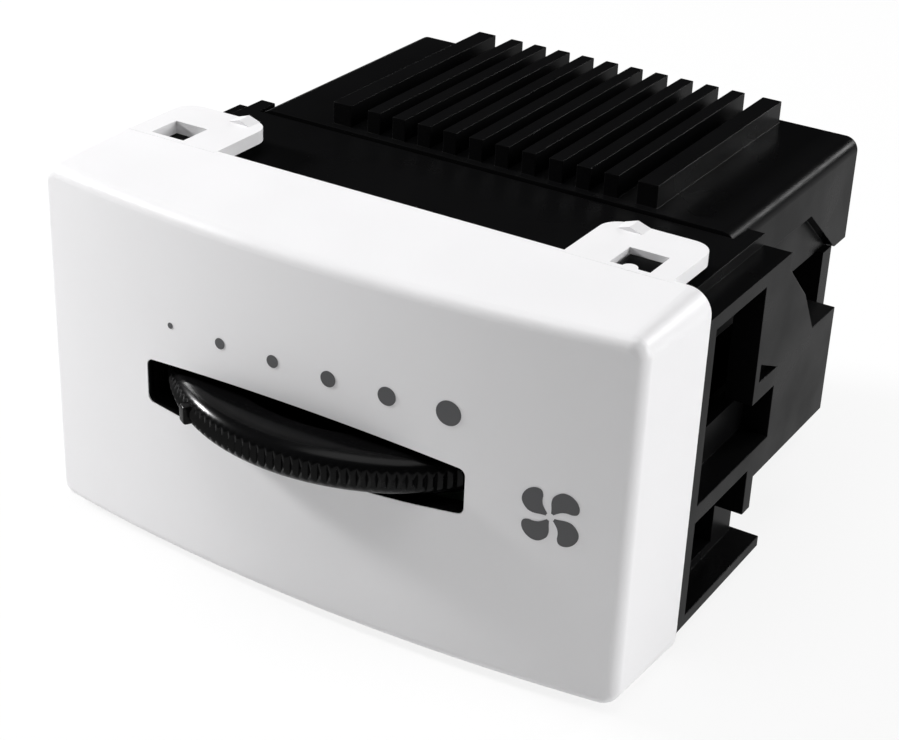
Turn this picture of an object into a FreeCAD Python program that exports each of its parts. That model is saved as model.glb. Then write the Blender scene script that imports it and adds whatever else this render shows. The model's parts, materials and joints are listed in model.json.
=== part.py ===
"""Fan speed control module: bowed front panel, thumbwheel regulator and finned rear housing.

Frame: X to the right, Y rearwards into the wall, Z up. The origin is the centre of the front
panel's rear plane. All sizes are in millimetres.
"""
import FreeCAD, Part
import math
import os
import re
import Sketcher

SIZES = {
    # Front panel
    "panel_width": 45.0,
    "panel_height": 25.84,
    "panel_side_depth": 7.55,
    "panel_bow": 1.97,
    "panel_draft": 2.6,
    "panel_corner": 1.6,
    "panel_edge": 0.8,
    "panel_wall": 1.7,
    "slot_length": 24.4,
    "slot_end_height": 3.1,
    "slot_rise": 0.7,
    "slot_corner": 0.5,
    "slot_lip": 0.45,
    "bezel_margin": 1.5,
    "bezel_height": 6.5,
    "bezel_gap": 0.05,
    "tab_inner": 13.1,
    "tab_width": 7.3,
    "tab_reach": 6.0,
    "tab_root": 0.3,
    "tab_thickness": 0.9,
    "tab_corner": 1.5,
    "tab_ridge_inset": 1.0,
    "tab_ridge_width": 1.8,
    "tab_ridge_length": 1.2,
    "tab_ridge_height": 0.3,
    "window_offset": 3.0,
    "window_width": 2.7,
    "window_front": 0.15,
    "window_depth": 2.6,
    "window_nub": 0.5,
    # Thumbwheel and its axis
    "control_offset": -0.5,
    "axis_depth": 2.7,
    "wheel_radius": 15.5,
    "wheel_thickness": 2.7,
    "wheel_edge": 0.7,
    "wheel_rim_width": 2.8,
    "wheel_web": 1.5,
    "hub_radius": 5.0,
    "knurl_depth": 0.3,
    "knurl_height": 1.5,
    "knurl_count": 156,
    "index_angle": 28.0,
    "index_width": 0.8,
    "index_stand": 0.4,
    "index_root": 1.2,
    "spindle_radius": 2.5,
    "spindle_flat": 0.7,
    "running_gap": 0.05,
    # Chassis frame behind the panel
    "chassis_inset": 0.5,
    "chassis_rib": 2.0,
    "chassis_wall": 1.2,
    "cheek_top": 10.4,
    "cheek_depth": 13.4,
    "top_plate": 1.0,
    "shoulder_rise": 0.8,
    "pad_margin": 0.6,
    "pad_gap": 0.1,
    "hook_gap": 0.15,
    "hook_drop": 0.35,
    "slope_drop": 1.2,
    "slope_depth": 3.4,
    "slope_fall": 3.1,
    "arm_neck": 2.2,
    "arm_top": 2.75,
    "arm_rear": 23.0,
    "arm_bottom": -5.25,
    "post_front": 2.3,
    "post_rear": 11.4,
    "post_width": 1.2,
    "post_length": 3.4,
    "window_rear": 9.6,
    "window_step": 0.9,
    "window_foot": 13.05,
    "rail_top": -2.95,
    "rail_height": 1.3,
    "wall_sill": -0.2,
    "tongue_bottom": -12.0,
    "tongue_thickness": 0.8,
    "tongue_reach": 13.85,
    "sill_width": 0.7,
    "catch_depth": 0.6,
    "catch_width": 2.8,
    "catch_height": 1.3,
    # Tray
    "tray_gap": 0.4,
    "tray_wall": 1.6,
    "tray_floor": 1.4,
    "tray_lift": 0.2,
    "tray_front": 2.0,
    "tray_rear": 31.0,
    "tray_wall_top": -2.5,
    "tray_back_top": 3.5,
    "boss_front": 14.2,
    "boss_length": 8.2,
    "boss_height": 2.2,
    # Finned cover
    "cover_overhang": 0.35,
    "cover_front": 11.6,
    "cover_rear": 32.7,
    "cover_top": 11.4,
    "cover_wall": 1.6,
    "cover_edge": 1.0,
    "skirt_bottom": 8.0,
    "skirt_slope_start": 25.0,
    "skirt_slope_end": 30.6,
    "skirt_rear_bottom": 3.66,
    "skirt_step": 0.75,
    "fin_pitch": 2.083,
    "fin_width": 1.05,
    "fin_height": 1.63,
    "fin_root": 0.3,
    "fin_count": 10,
    "end_fin_width": 1.5,
    "end_fin_gap": 1.4,
    "fin_inset": 0.6,
    # Fastenings
    "pillar_inset": 3.3,
    "screw_pillar_y": 18.2,
    "pillar_radius": 1.9,
    "cover_screw_radius": 1.1,
    "cover_screw_head": 2.0,
    "cover_screw_head_height": 0.9,
    "cover_screw_length": 13.0,
    "pilot_spare": 1.0,
    "screw_gap": 0.05,
    # Circuit board and its pieces
    "board_inset": 4.0,
    "board_front": -4.6,
    "board_rear": 28.6,
    "board_top": -6.0,
    "board_thickness": 1.6,
    "standoff_radius": 1.4,
    "standoff_inset": 2.9,
    "standoff_front": 7.0,
    "standoff_rear": 27.0,
    "pot_radius": 7.4,
    "pot_height": 3.2,
    "pot_wall": 0.8,
    "pot_lid": 0.8,
    "track_thickness": 0.2,
    "track_inner": 4.2,
    "track_outer": 6.2,
    "track_gap": 2.4,
    "wiper_thickness": 0.25,
    "wiper_width": 1.6,
    "wiper_inset": 0.4,
    "flange_radius": 3.8,
    "flange_height": 0.8,
    "lead_radius": 0.3,
    "choke_x": 4.4,
    "choke_y": 24.3,
    "choke_radius": 3.2,
    "choke_bore": 1.7,
    "choke_width": 3.4,
    "choke_wire": 0.6,
    "choke_seat": 0.3,
    "film_width": 5.6,
    "film_depth": 7.0,
    "film_height": 8.0,
    "timing_x": 6.5,
    "timing_y": 12.0,
    "timing_width": 5.0,
    "timing_depth": 2.5,
    "timing_height": 3.6,
    "resistor_x": 6.5,
    "resistor_y": 12.4,
    "resistor_pitch": 3.6,
    "resistor_radius": 1.15,
    "resistor_length": 6.3,
    "resistor_cap": 1.2,
    "cap_step": 0.15,
    "diode_radius": 0.9,
    "diode_length": 4.0,
    "diode_cap": 0.8,
    "fuse_x": 0.0,
    "fuse_y": 14.3,
    "fuse_radius": 1.0,
    "fuse_length": 6.0,
    "fuse_cap": 1.6,
    # Heat sink and triac
    "sink_thickness": 1.4,
    "sink_margin": 2.0,
    "sink_front": 15.0,
    "sink_rear": 30.6,
    "peg_radius": 1.2,
    "peg_spacing": 20.0,
    "peg_depth": 25.0,
    "peg_stand": 0.8,
    "triac_width": 7.8,
    "triac_length": 10.6,
    "triac_thickness": 2.7,
    "triac_front": 20.0,
    "triac_lead_pitch": 2.29,
    "triac_hole": 1.3,
    "triac_hole_inset": 3.0,
    "triac_lead_reach": 1.0,
    "triac_head_height": 1.4,
    # Terminals
    "terminal_x": 13.4,
    "terminal_z": 0.9,
    "cage_width": 5.8,
    "cage_height": 5.8,
    "cage_wall": 0.8,
    "cage_front": 22.6,
    "cage_plate": 1.2,
    "wire_gap": 2.0,
    "strip_thickness": 0.6,
    "strip_height": 3.4,
    "strip_leg": 1.6,
    "strip_inset": 0.3,
    "cage_play": 0.2,
    "cage_travel": 1.6,
    "clamp_screw_radius": 1.2,
    "clamp_head_radius": 2.2,
    "clamp_head_height": 1.5,
    "clamp_slot_width": 0.6,
    "clamp_slot_depth": 0.8,
    "head_gap": 0.3,
}

doc = FreeCAD.newDocument("fan_speed_control")
sheet = doc.addObject("Spreadsheet::Sheet", "Sizes")
for row, (size_name, size_value) in enumerate(SIZES.items(), start=1):
    sheet.set(f"A{row}", size_name)
    sheet.set(f"B{row}", str(size_value))
    sheet.setAlias(f"B{row}", size_name)
doc.recompute()

# Lengths that several pieces share, as expressions of the sheet's cells
RIB_FACE = "(panel_width/2 - chassis_inset)"
RIB_ROOT = "(panel_width/2 - chassis_inset - chassis_rib)"
CHASSIS_INNER = "(panel_width/2 - chassis_inset - chassis_rib - chassis_wall)"
TRAY_HALF = "(panel_width/2 - chassis_inset - chassis_rib - chassis_wall - tray_gap)"
PILLAR_X = f"({TRAY_HALF} - pillar_inset)"
BOARD_HALF = f"({TRAY_HALF} - board_inset)"
STANDOFF_X = f"({BOARD_HALF} - standoff_inset)"
SINK_HALF = "(peg_spacing/2 + sink_margin)"
COVER_HALF = "(panel_width/2 - chassis_inset - chassis_rib - chassis_wall - tray_gap + cover_overhang)"
TONGUE_TOP = "(tongue_bottom + tongue_thickness)"
TRAY_BOTTOM = "(tongue_bottom + tongue_thickness + tray_lift)"
TRAY_FLOOR_TOP = "(tongue_bottom + tongue_thickness + tray_lift + tray_floor)"
CEILING = "(cover_top - cover_wall)"
BOARD_BOTTOM = "(board_top - board_thickness)"
POT_TOP = "(board_top + pot_height)"
STRIP_FRONT = "(cage_front + cage_wall + wire_gap)"
STRIP_REAR = "(cage_front + cage_wall + wire_gap + strip_thickness)"
CAGE_PLATE_FRONT = "(cage_front + cage_wall + wire_gap + strip_thickness + cage_play)"
CAGE_REAR = "(cage_front + cage_wall + wire_gap + strip_thickness + cage_play + cage_plate)"
CLAMP_HEAD_FRONT = (
    "(cage_front + cage_wall + wire_gap + strip_thickness + cage_play + cage_plate + cage_travel + head_gap)"
)

# How far a cutting shape reaches past the solid that it cuts
BEYOND = "1"
PLANE_ROLES = {"XY": "XY_Plane", "XZ": "XZ_Plane", "YZ": "YZ_Plane"}
nodes = []


def expr(text):
    """Point every size name in a formula at its cell of the sheet."""
    def cell(found):
        word = found.group()
        return "Sizes." + word if word in SIZES else word
    return re.sub(r"[a-z_][a-z_0-9]*", cell, text)


def value(text):
    """Work out a formula of size names as a number."""
    return float(sheet.evalExpression(expr(text)))


def bind(item, **formulas):
    """Tie an object's properties to formulas; a double underscore stands for a dot."""
    for prop, formula in formulas.items():
        item.setExpression(prop.replace("__", "."), expr(formula))


def node(item, label):
    """Name a finished piece; its label becomes the name of its file."""
    item.Label = label
    nodes.append(item)
    return item


def new_body(name):
    """Start an empty body."""
    return doc.addObject("PartDesign::Body", name)


def origin_plane(body, plane):
    """Find one of a body's own origin planes."""
    role = PLANE_ROLES[plane]
    return next(item for item in body.Origin.OriginFeatures if item.Role == role)


def arc_through(start, end, radius, bulge_left):
    """Arc from start to end; bulge_left puts its crown to the left of the way it runs."""
    chord = end - start
    left = FreeCAD.Vector(-chord.y, chord.x, 0).normalize()
    half = chord.Length / 2
    rise = radius - math.sqrt(max(radius * radius - half * half, 0.0))
    crown = (start + end) * 0.5 + left * (rise if bulge_left else -rise)
    return Part.Arc(start, crown, end)


def flat_sketch(body, name, plane, offset):
    """Empty sketch on one of a body's origin planes, moved along the plane's normal."""
    sketch = body.newObject("Sketcher::SketchObject", name)
    sketch.AttachmentSupport = [(origin_plane(body, plane), "")]
    sketch.MapMode = "FlatFace"
    bind(sketch, AttachmentOffset__Base__z=offset)
    return sketch


def hold(sketch, kind, formula, *places):
    """Add a sized constraint and tie it to its formula."""
    number = sketch.addConstraint(Sketcher.Constraint(kind, *places, value(formula)))
    sketch.setExpression(f"Constraints[{number}]", expr(formula))


def add_loop(sketch, corners, arcs):
    """Draw one closed line whose corners are formula pairs.

    arcs maps an edge's index to (radius formula, bulge_left); the other edges are straight.
    """
    points = [FreeCAD.Vector(value(across), value(up), 0) for across, up in corners]
    count = len(points)
    edges = []
    for index in range(count):
        start, end = points[index], points[(index + 1) % count]
        if index in arcs:
            radius, bulge_left = arcs[index]
            curve = arc_through(start, end, value(radius), bulge_left)
        else:
            curve = Part.LineSegment(start, end)
        edges.append(sketch.addGeometry(curve, False))
    ends = []
    for edge, point in zip(edges, points):
        forward = sketch.getPoint(edge, 1).distanceToPoint(point) < 1e-6
        ends.append((1, 2) if forward else (2, 1))
    for index, edge in enumerate(edges):
        after = (index + 1) % count
        meeting = (edge, ends[index][1], edges[after], ends[after][0])
        sketch.addConstraint(Sketcher.Constraint("Coincident", *meeting))
    for index, (across, up) in enumerate(corners):
        hold(sketch, "DistanceX", across, -1, 1, edges[index], ends[index][0])
        hold(sketch, "DistanceY", up, -1, 1, edges[index], ends[index][0])
    for index, (radius, bulge_left) in arcs.items():
        hold(sketch, "Radius", radius, edges[index])


def outline(body, name, plane, corners, offset="0", arcs=None, holes=()):
    """Sketch an outline, with any holes, on an origin plane."""
    sketch = flat_sketch(body, name, plane, offset)
    add_loop(sketch, corners, arcs or {})
    for hole in holes:
        add_loop(sketch, hole, {})
    return sketch


def rectangle(left, right, low, high):
    """Corners of an upright rectangle, as formula pairs."""
    return [(left, low), (right, low), (right, high), (left, high)]


def round_sketch(body, name, plane, circles, offset="0"):
    """Sketch circles given as (across, up, radius) formulas."""
    sketch = flat_sketch(body, name, plane, offset)
    for across, up, radius in circles:
        centre = FreeCAD.Vector(value(across), value(up), 0)
        ring = sketch.addGeometry(Part.Circle(centre, FreeCAD.Vector(0, 0, 1), value(radius)), False)
        hold(sketch, "DistanceX", across, -1, 1, ring, 3)
        hold(sketch, "DistanceY", up, -1, 1, ring, 3)
        hold(sketch, "Radius", radius, ring)
    return sketch


def extrude(body, kind, sketch, length=None, both_ways=False, flip=False):
    """Add a Pad or Pocket; no length means through everything."""
    feature = body.newObject("PartDesign::" + kind, kind + sketch.Name)
    feature.Profile = sketch
    feature.SideType = "Symmetric" if both_ways else "One side"
    feature.Reversed = flip
    feature.Refine = False
    if length is None:
        feature.Type = "ThroughAll"
    else:
        bind(feature, Length=length)
    doc.recompute()
    return feature


def fillet(body, base, radius, wanted):
    """Round the edges of a feature that a test picks out."""
    names = [f"Edge{i}" for i, edge in enumerate(base.Shape.Edges, start=1) if wanted(edge)]
    feature = body.newObject("PartDesign::Fillet", "Fillet" + base.Name)
    feature.Base = (base, names)
    bind(feature, Radius=radius)
    doc.recompute()
    return feature


def box(name, x_span, y_span, z_span):
    """Block between two formulas along each axis."""
    item = doc.addObject("Part::Box", name)
    spans = (x_span, y_span, z_span)
    length, width, height = [f"({high}) - ({low})" for low, high in spans]
    bind(item, Length=length, Width=width, Height=height)
    bind(item, Placement__Base__x=x_span[0], Placement__Base__y=y_span[0], Placement__Base__z=z_span[0])
    return item


TURNS = {
    "X": FreeCAD.Rotation(FreeCAD.Vector(0, 1, 0), 90),
    "Y": FreeCAD.Rotation(FreeCAD.Vector(1, 0, 0), -90),
    "Z": FreeCAD.Rotation(),
}


def rod(name, axis, centre, radius, length):
    """Round rod that starts at a point and runs along +X, +Y or +Z."""
    item = doc.addObject("Part::Cylinder", name)
    item.Placement.Rotation = TURNS[axis]
    bind(item, Radius=radius, Height=length)
    bind(item, Placement__Base__x=centre[0], Placement__Base__y=centre[1], Placement__Base__z=centre[2])
    return item


def fuse(name, *items):
    """Join solids into one."""
    joined = doc.addObject("Part::MultiFuse", name)
    joined.Shapes = list(items)
    joined.Refine = True
    return joined


def cut(name, base, *tools):
    """Take tools away from a base solid."""
    item = doc.addObject("Part::Cut", name)
    item.Base = base
    item.Tool = tools[0] if len(tools) == 1 else fuse(name + "_tools", *tools)
    item.Refine = True
    return item


def make_front_panel():
    """White bowed panel: hollow shell, eye-shaped slot and two windowed snap tabs."""
    body = new_body("front_panel_body")
    w, h, c = "panel_width/2", "panel_height/2", "panel_corner"
    corners = [
        (f"-{w} + {c}", f"-{h}"), (f"{w} - {c}", f"-{h}"), (w, f"-{h} + {c}"), (w, f"{h} - {c}"),
        (f"{w} - {c}", h), (f"-{w} + {c}", h), (f"-{w}", f"{h} - {c}"), (f"-{w}", f"-{h} + {c}"),
    ]
    rounds = {edge: (c, False) for edge in (1, 3, 5, 7)}
    block = extrude(body, "Pad", outline(body, "panel_face", "XZ", corners, arcs=rounds),
                    f"panel_side_depth + panel_bow + {BEYOND}")
    bind(block, TaperAngle="-panel_draft")
    doc.recompute()
    # The front is a cylinder about an upright axis: chord panel_width, rise panel_bow
    bow_radius = f"(({w})^2 + panel_bow^2)/(2*panel_bow)"
    side, ahead = f"{w} + {BEYOND}", f"-(panel_side_depth + panel_bow + 2*{BEYOND})"
    front = [
        (f"-{w}", "-panel_side_depth"), (w, "-panel_side_depth"), (side, "-panel_side_depth"),
        (side, ahead), (f"-({side})", ahead), (f"-({side})", "-panel_side_depth"),
    ]
    bow_line = outline(body, "panel_bow_line", "XY", front, arcs={0: (bow_radius, False)})
    bowed = extrude(body, "Pocket", bow_line, both_ways=True)
    limit = value("-panel_side_depth + panel_edge/2")
    fillet(body, bowed, "panel_edge", lambda edge: edge.BoundBox.YMax < limit)
    # Cavity: the same bow, one wall further in
    inner = "panel_width/2 - panel_wall"
    inner_radius = f"({bow_radius} - panel_wall)"
    crown = f"(panel_side_depth + panel_bow - {bow_radius})"
    inner_end = f"-{crown} - sqrt({inner_radius}^2 - ({inner})^2)"
    cavity = [(f"-({inner})", inner_end), (inner, inner_end), (inner, BEYOND), (f"-({inner})", BEYOND)]
    draft_drop = "(panel_side_depth + panel_bow)*tan(panel_draft)"
    extrude(body, "Pocket", outline(body, "panel_cavity", "XY", cavity, arcs={0: (inner_radius, False)}),
            f"panel_height - 2*panel_wall - 2*{draft_drop}", both_ways=True)
    cut_slot(body, "panel_slot")
    seat = bezel_plan("slot_lip", "panel_wall + slot_lip", "0")
    extrude(body, "Pocket", outline(body, "bezel_seat", "XY", *seat), "bezel_height", both_ways=True)
    for side, hand in ((1, "right"), (-1, "left")):
        add_snap_tab(body, side, hand)
    node(body, "front_panel")


def cut_slot(body, name):
    """Slot for the wheel, taller in the middle than at its rounded ends."""
    left, right = "control_offset - slot_length/2", "control_offset + slot_length/2"
    arch = "((slot_length/2)^2 + slot_rise^2)/(2*slot_rise)"
    corners = rectangle(left, right, "-slot_end_height/2", "slot_end_height/2")
    arcs = {0: (arch, False), 2: (arch, False)}
    slot = extrude(body, "Pocket", outline(body, name, "XZ", corners, arcs=arcs), flip=True)
    ends = (value(left), value(right))
    height = value("slot_end_height/2")

    def at_corner(edge):
        middle = edge.BoundBox.Center
        at_end = min(abs(middle.x - end) for end in ends) < 0.01
        return at_end and abs(abs(middle.z) - height) < 0.01 and edge.BoundBox.YLength > value("slot_corner")

    fillet(body, slot, "slot_corner", at_corner)


def bezel_plan(front, rear, gap):
    """Plan of the space behind the slot: a band of the bow between two depths below the panel's face."""
    bow_radius = "((panel_width/2)^2 + panel_bow^2)/(2*panel_bow)"
    axis = f"({bow_radius} - panel_side_depth - panel_bow)"
    left = f"(control_offset - slot_length/2 - bezel_margin + {gap})"
    right = f"(control_offset + slot_length/2 + bezel_margin - {gap})"
    outer, inner = f"({bow_radius} - {front})", f"({bow_radius} - ({rear}))"
    corners = [(x, f"{axis} - sqrt({radius}^2 - {x}^2)")
               for x, radius in ((left, outer), (right, outer), (right, inner), (left, inner))]
    return corners, "0", {0: (outer, False), 2: (inner, True)}


def make_wheel_bezel():
    """Black bowed insert behind the panel's slot, with the same slot through it."""
    body = new_body("bezel_body")
    plan = bezel_plan("(slot_lip + bezel_gap)", "panel_wall", "bezel_gap")
    extrude(body, "Pad", outline(body, "bezel_band", "XY", *plan), "bezel_height - 2*bezel_gap",
            both_ways=True)
    cut_slot(body, "bezel_slot")
    node(body, "wheel_bezel")


def tab_line(side, *terms):
    """Place across the panel, counted outwards from the inner edge of the tab on one side."""
    return f"(control_offset + {side}*({' + '.join(('tab_inner',) + terms)}))"


def window_span(side, margin="0"):
    """The two sides of a tab's window, moved outwards by a margin."""
    return (tab_line(side, f"window_offset - {margin}"),
            tab_line(side, f"window_offset + window_width + {margin}"))


def add_snap_tab(body, side, hand):
    """Tab on the panel's upper rear edge: square window, small ridge and, on the right, a nub."""
    inner, outer = tab_line(side), tab_line(side, "tab_width")
    near, far = tab_line(side, "tab_corner"), tab_line(side, "tab_width - tab_corner")
    corners = [
        (inner, "-tab_root"), (outer, "-tab_root"), (outer, "tab_reach - tab_corner"),
        (far, "tab_reach"), (near, "tab_reach"), (inner, "tab_reach - tab_corner"),
    ]
    rounds = {2: ("tab_corner", side < 0), 4: ("tab_corner", side < 0)}
    top, level = "panel_height/2", "panel_height/2 - tab_thickness"
    extrude(body, "Pad", outline(body, f"tab_{hand}", "XY", corners, level, rounds), "tab_thickness")
    start, end = window_span(side)
    window = rectangle(start, end, "window_front", "window_front + window_depth")
    extrude(body, "Pocket", outline(body, f"window_{hand}", "XY", window, f"{level} - tab_thickness"),
            "3*tab_thickness", flip=True)
    ridge = [
        (tab_line(side, "tab_ridge_inset"), f"{top} - tab_thickness/2"),
        (tab_line(side, "tab_ridge_inset + tab_ridge_width"), f"{top} - tab_thickness/2"),
        (tab_line(side, "tab_ridge_inset + tab_ridge_width"), top),
        (tab_line(side, "tab_ridge_inset + tab_ridge_width/2"), f"{top} + tab_ridge_height"),
        (tab_line(side, "tab_ridge_inset"), top),
    ]
    extrude(body, "Pad", outline(body, f"ridge_{hand}", "XZ", ridge, "-(tab_reach - tab_ridge_length)"),
            "tab_ridge_length", flip=True)
    if side > 0:
        nub = [(tab_line(side, "window_offset + window_width/2"), "window_front", "window_nub")]
        extrude(body, "Pad", round_sketch(body, "window_nub", "XY", nub, level), "tab_thickness")


def make_chassis_frame():
    """Black frame behind the panel: ribbed cheeks with windows, side arms and a bottom tongue."""
    body = new_body("chassis_body")
    roof_half = f"({CHASSIS_INNER} + chassis_wall/2)"
    roof = rectangle(f"-{roof_half}", roof_half, "cheek_top - top_plate", "cheek_top + shoulder_rise")
    extrude(body, "Pad", outline(body, "roof", "XZ", roof), "cover_front - tray_gap/2", flip=True)
    for side, hand in ((1, "right"), (-1, "left")):
        add_cheek(body, side, hand)
    tongue = rectangle(f"-{RIB_FACE}", RIB_FACE, "tongue_bottom", TONGUE_TOP)
    extrude(body, "Pad", outline(body, "tongue", "XZ", tongue), "tongue_reach", flip=True)
    for side, hand in ((1, "right"), (-1, "left")):
        add_catch(body, side, hand)
        add_tab_pad(body, side, hand)
    node(body, "chassis_frame")


def add_tab_pad(body, side, hand):
    """Pad under a snap tab; on the right it carries a hook that fills the tab's window."""
    roof = "cheek_top + shoulder_rise"
    underside = "panel_height/2 - tab_thickness"
    rear = "window_front + window_depth"
    start, end = window_span(side, "pad_margin")
    pad = rectangle(start, end, "0", f"{rear} + pad_margin")
    extrude(body, "Pad", outline(body, f"pad_{hand}", "XY", pad, f"{roof} - top_plate/2"),
            f"{underside} - pad_gap - ({roof}) + top_plate/2")
    if side > 0:
        start, end = window_span(side, "-hook_gap")
        hook = rectangle(start, end, "window_front + window_nub + hook_gap", f"{rear} - hook_gap")
        extrude(body, "Pad", outline(body, f"hook_{hand}", "XY", hook, f"{underside} - 2*pad_gap"),
                "tab_thickness + 2*pad_gap - hook_drop")


def add_cheek(body, side, hand):
    """One cheek: an inner wall with two windows and, on its outside, a frame of ribs with an arm."""
    ceiling = "cheek_top - top_plate"
    lower_top = "rail_top - rail_height"
    post_end = f"{lower_top} - post_length"
    post_back = "post_rear - post_width"
    root = "tongue_bottom + tongue_thickness/2"
    slope_y = "(cheek_depth + slope_depth)"
    slope_z = "(cheek_top - slope_drop - slope_fall)"
    ribs = [
        ("0", "cheek_top"), ("cheek_depth", "cheek_top"), ("cheek_depth", "cheek_top - slope_drop"),
        (slope_y, slope_z), (f"{slope_y} + arm_neck", "arm_top"), ("arm_rear", "arm_top"),
        ("arm_rear", "arm_bottom"), ("post_rear", "arm_bottom"), ("post_rear", post_end),
        (post_back, post_end), (post_back, lower_top), ("post_front", lower_top),
        ("post_front", root), ("0", root),
    ]
    recess = [
        ("post_front", "rail_top"), ("window_foot", "rail_top"), ("window_foot", "window_step"),
        ("window_rear", "window_step"), ("window_rear", ceiling), ("post_front", ceiling),
    ]
    wall = rectangle("0", "cheek_depth", root, "cheek_top + shoulder_rise")
    windows = [
        rectangle("post_front + sill_width", "cheek_depth - sill_width", "wall_sill",
                  f"{ceiling} - sill_width"),
        rectangle("post_front + sill_width", post_back, f"{TONGUE_TOP} + sill_width",
                  f"{lower_top} - sill_width"),
    ]
    sketch = outline(body, f"wall_{hand}", "YZ", wall, f"{side}*{CHASSIS_INNER}", holes=windows)
    extrude(body, "Pad", sketch, "chassis_wall", flip=side < 0)
    sketch = outline(body, f"ribs_{hand}", "YZ", ribs, f"{side}*{RIB_ROOT}", holes=[recess])
    extrude(body, "Pad", sketch, "chassis_rib", flip=side < 0)


def add_catch(body, side, hand):
    """Small three-cornered snap recess in the outer face of a cheek."""
    catch_front = "window_rear + sill_width"
    catch_low = "window_step + 2*sill_width"
    corners = [
        (catch_front, catch_low), (f"{catch_front} + catch_width", catch_low),
        (catch_front, f"{catch_low} + catch_height"),
    ]
    sketch = outline(body, f"catch_{hand}", "YZ", corners, f"{side}*({RIB_FACE} - catch_depth)")
    extrude(body, "Pocket", sketch, "2*catch_depth", flip=side > 0)


def make_base_tray():
    """Black lower housing: trough with a rear wall, board standoffs and screw pillars."""
    body = new_body("tray_body")
    inner = f"({TRAY_HALF} - tray_wall)"
    trough = [
        (f"-{TRAY_HALF}", TRAY_BOTTOM), (TRAY_HALF, TRAY_BOTTOM), (TRAY_HALF, "tray_wall_top"),
        (inner, "tray_wall_top"), (inner, TRAY_FLOOR_TOP), (f"-{inner}", TRAY_FLOOR_TOP),
        (f"-{inner}", "tray_wall_top"), (f"-{TRAY_HALF}", "tray_wall_top"),
    ]
    extrude(body, "Pad", outline(body, "trough", "XZ", trough, "-tray_front"), "tray_rear - tray_front",
            flip=True)
    back = rectangle(f"-{TRAY_HALF}", TRAY_HALF, TRAY_BOTTOM, "tray_back_top")
    extrude(body, "Pad", outline(body, "tray_back", "XZ", back, "-(tray_rear - tray_wall)"), "tray_wall",
            flip=True)
    pillars = [(f"{side}*{PILLAR_X}", "screw_pillar_y", "pillar_radius") for side in (1, -1)]
    extrude(body, "Pad", round_sketch(body, "pillars", "XY", pillars, TRAY_FLOOR_TOP),
            f"tray_wall_top - {TRAY_FLOOR_TOP}")
    stand = [(f"{side}*{STANDOFF_X}", depth, "standoff_radius")
             for side in (1, -1) for depth in ("standoff_front", "standoff_rear")]
    extrude(body, "Pad", round_sketch(body, "standoffs", "XY", stand, TRAY_FLOOR_TOP),
            f"{BOARD_BOTTOM} - {TRAY_FLOOR_TOP}")
    for side, hand in ((1, "right"), (-1, "left")):
        seat = rectangle("boss_front", "boss_front + boss_length", "tray_wall_top - boss_height",
                         "tray_wall_top")
        sketch = outline(body, f"arm_seat_{hand}", "YZ", seat, f"{side}*({TRAY_HALF} - tray_wall/2)")
        extrude(body, "Pad", sketch, f"{RIB_ROOT} - {TRAY_HALF} + tray_wall/2", flip=side < 0)
    shanks = [(f"{side}*{PILLAR_X}", "screw_pillar_y", "cover_screw_radius + screw_gap")
              for side in (1, -1)]
    extrude(body, "Pocket", round_sketch(body, "shank_holes", "XY", shanks, f"{TRAY_BOTTOM} - {BEYOND}"),
            f"tray_wall_top - {TRAY_BOTTOM} + 2*{BEYOND}", flip=True)
    heads = [(f"{side}*{PILLAR_X}", "screw_pillar_y", "cover_screw_head + head_gap") for side in (1, -1)]
    extrude(body, "Pocket", round_sketch(body, "head_sinks", "XY", heads, f"{TRAY_BOTTOM} - {BEYOND}"),
            f"cover_screw_head_height + {BEYOND}", flip=True)
    ports = [(f"{side}*terminal_x", "terminal_z", "clamp_head_radius + head_gap") for side in (1, -1)]
    extrude(body, "Pocket", round_sketch(body, "driver_ports", "XZ", ports, f"-(tray_rear + {BEYOND})"),
            f"tray_wall + 2*{BEYOND}", flip=True)
    node(body, "base_tray")


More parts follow.
